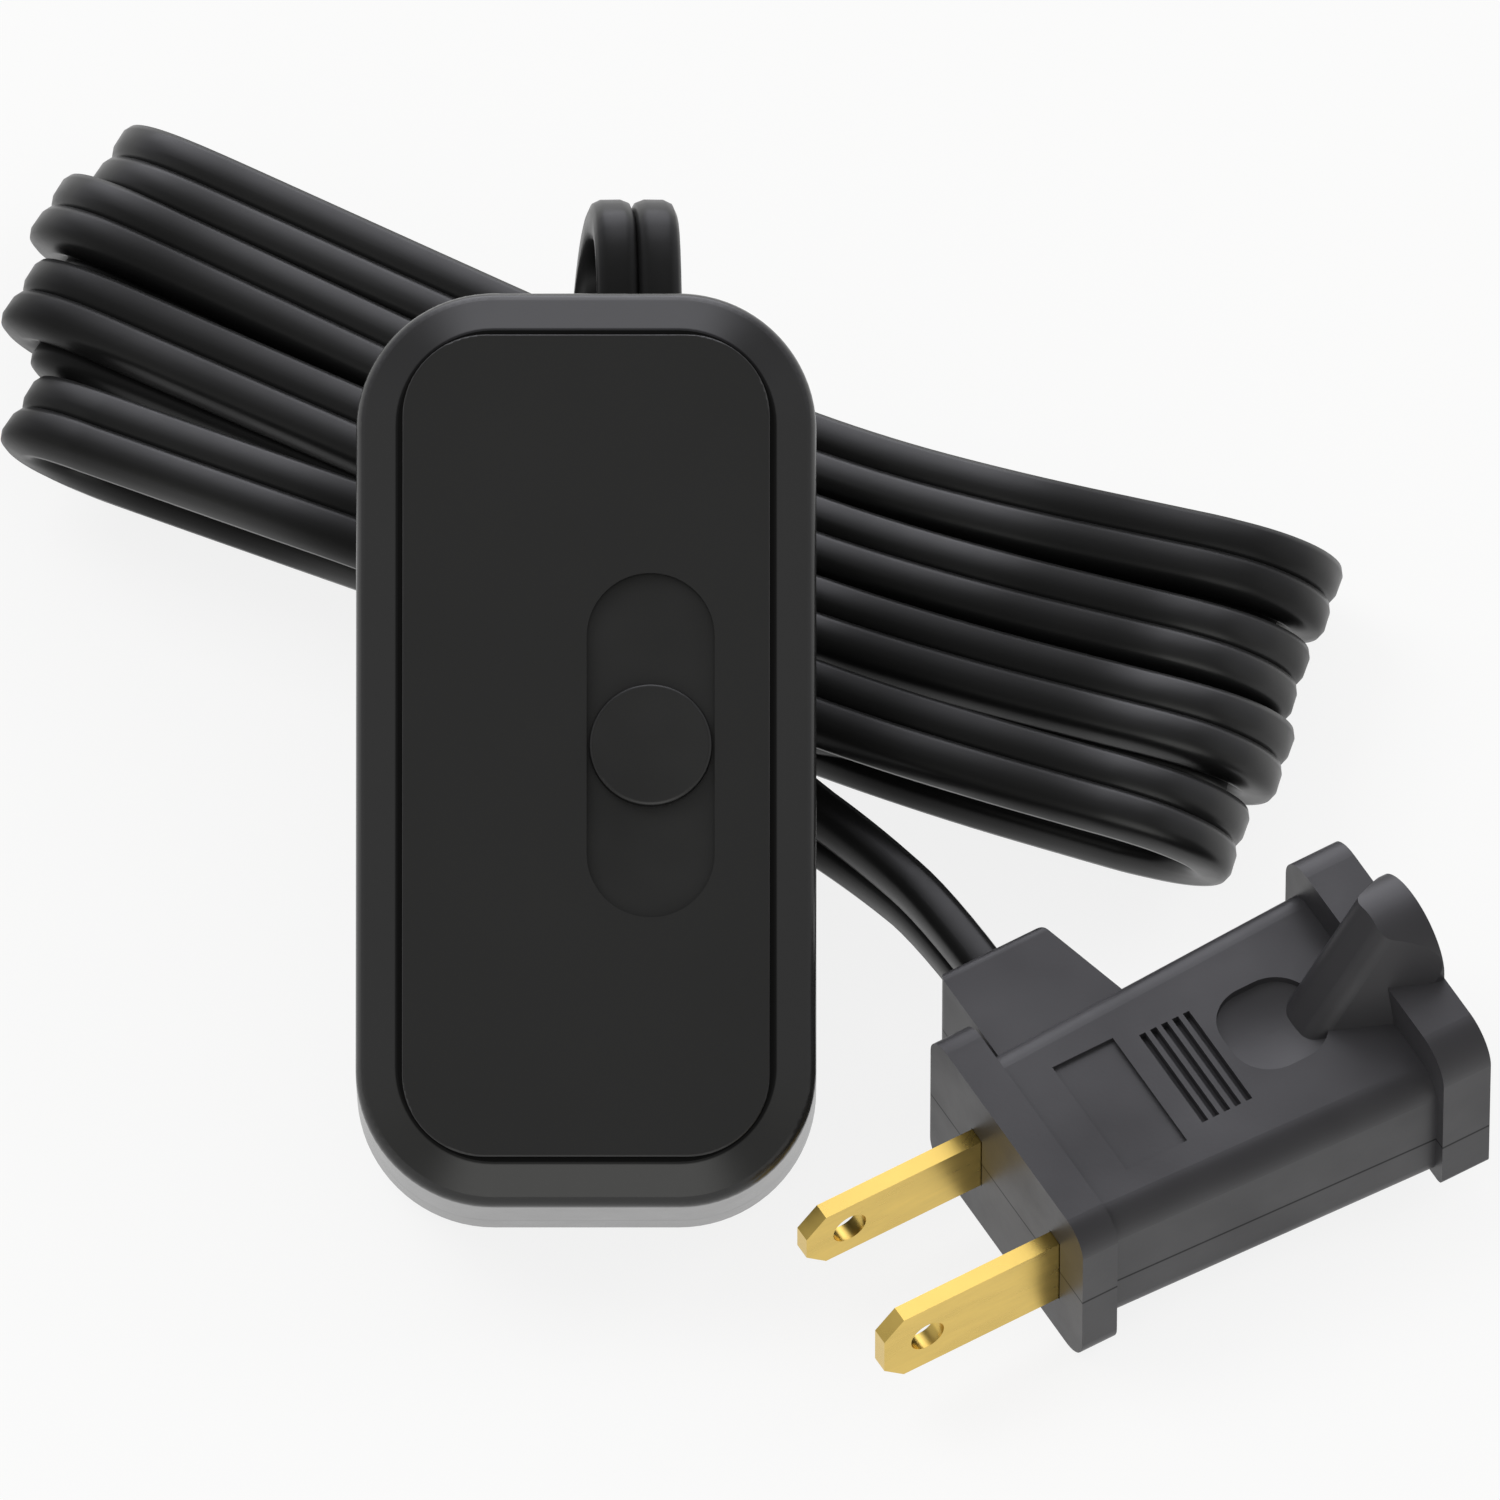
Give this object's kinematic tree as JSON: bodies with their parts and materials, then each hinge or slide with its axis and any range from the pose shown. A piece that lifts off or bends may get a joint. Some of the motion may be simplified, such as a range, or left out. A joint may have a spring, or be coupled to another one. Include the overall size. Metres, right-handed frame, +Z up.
{
  "type": "plug-in lamp slide dimmer",
  "caption": "Black table-top slide dimmer for a lamp, with a flat round knob in an oval slot, flat cord wound in a hank and a grey piggyback plug with brass blades.",
  "frame": {"origin": "on the floor, under the middle of the leaning dimmer's plan box", "axes": "+Z up, +Y away from the viewer along the dimmer's length, +X to the viewer's right"},
  "size_m": [0.1287, 0.128, 0.0508],
  "materials": {
    "case_black": "gloss moulded",
    "plug_grey": "satin moulded",
    "cord_black": "satin",
    "blade_brass": "rolled",
    "wire_copper": "bare",
    "screw_steel": "plated",
    "board_tan": "matte",
    "pot_black": "matte",
    "sink_aluminium": "plain",
    "core_ferrite": "matte",
    "film_red": "dipped",
    "disc_orange": "dipped",
    "resistor_tan": "plain",
    "diac_glass": "plain"
  },
  "bodies": {
    "dimmer": {"base_tray": "case_black", "top_cover": "case_black", "plug_top_shell": "plug_grey", "plug_bottom_shell": "plug_grey", "cord_hank": "cord_black", "cord_exit": "cord_black", "cord_lead": "cord_black", "narrow_blade": "blade_brass", "wide_blade": "blade_brass", "hot_contact": "blade_brass", "case_wires": "wire_copper", "plug_wires": "wire_copper", "choke_winding": "wire_copper", "case_screws": "screw_steel", "clamp_screws": "screw_steel", "circuit_board": "board_tan", "pot_body": "pot_black", "triac": "pot_black", "cord_clamp": "pot_black", "heat_sink": "sink_aluminium", "choke_core": "core_ferrite", "film_capacitor": "film_red", "disc_capacitor": "disc_orange", "resistors": "resistor_tan", "diac": "diac_glass"},
    "slider": {"slider": "case_black", "pot_lever": "screw_steel"}
  },
  "joints": [
    {"name": "slider_travel", "type": "slide", "parent": "dimmer", "child": "slider", "axis": [0, 0.8829, 0.4695], "range_m": [-0.0091, 0.0091]}
  ]
}
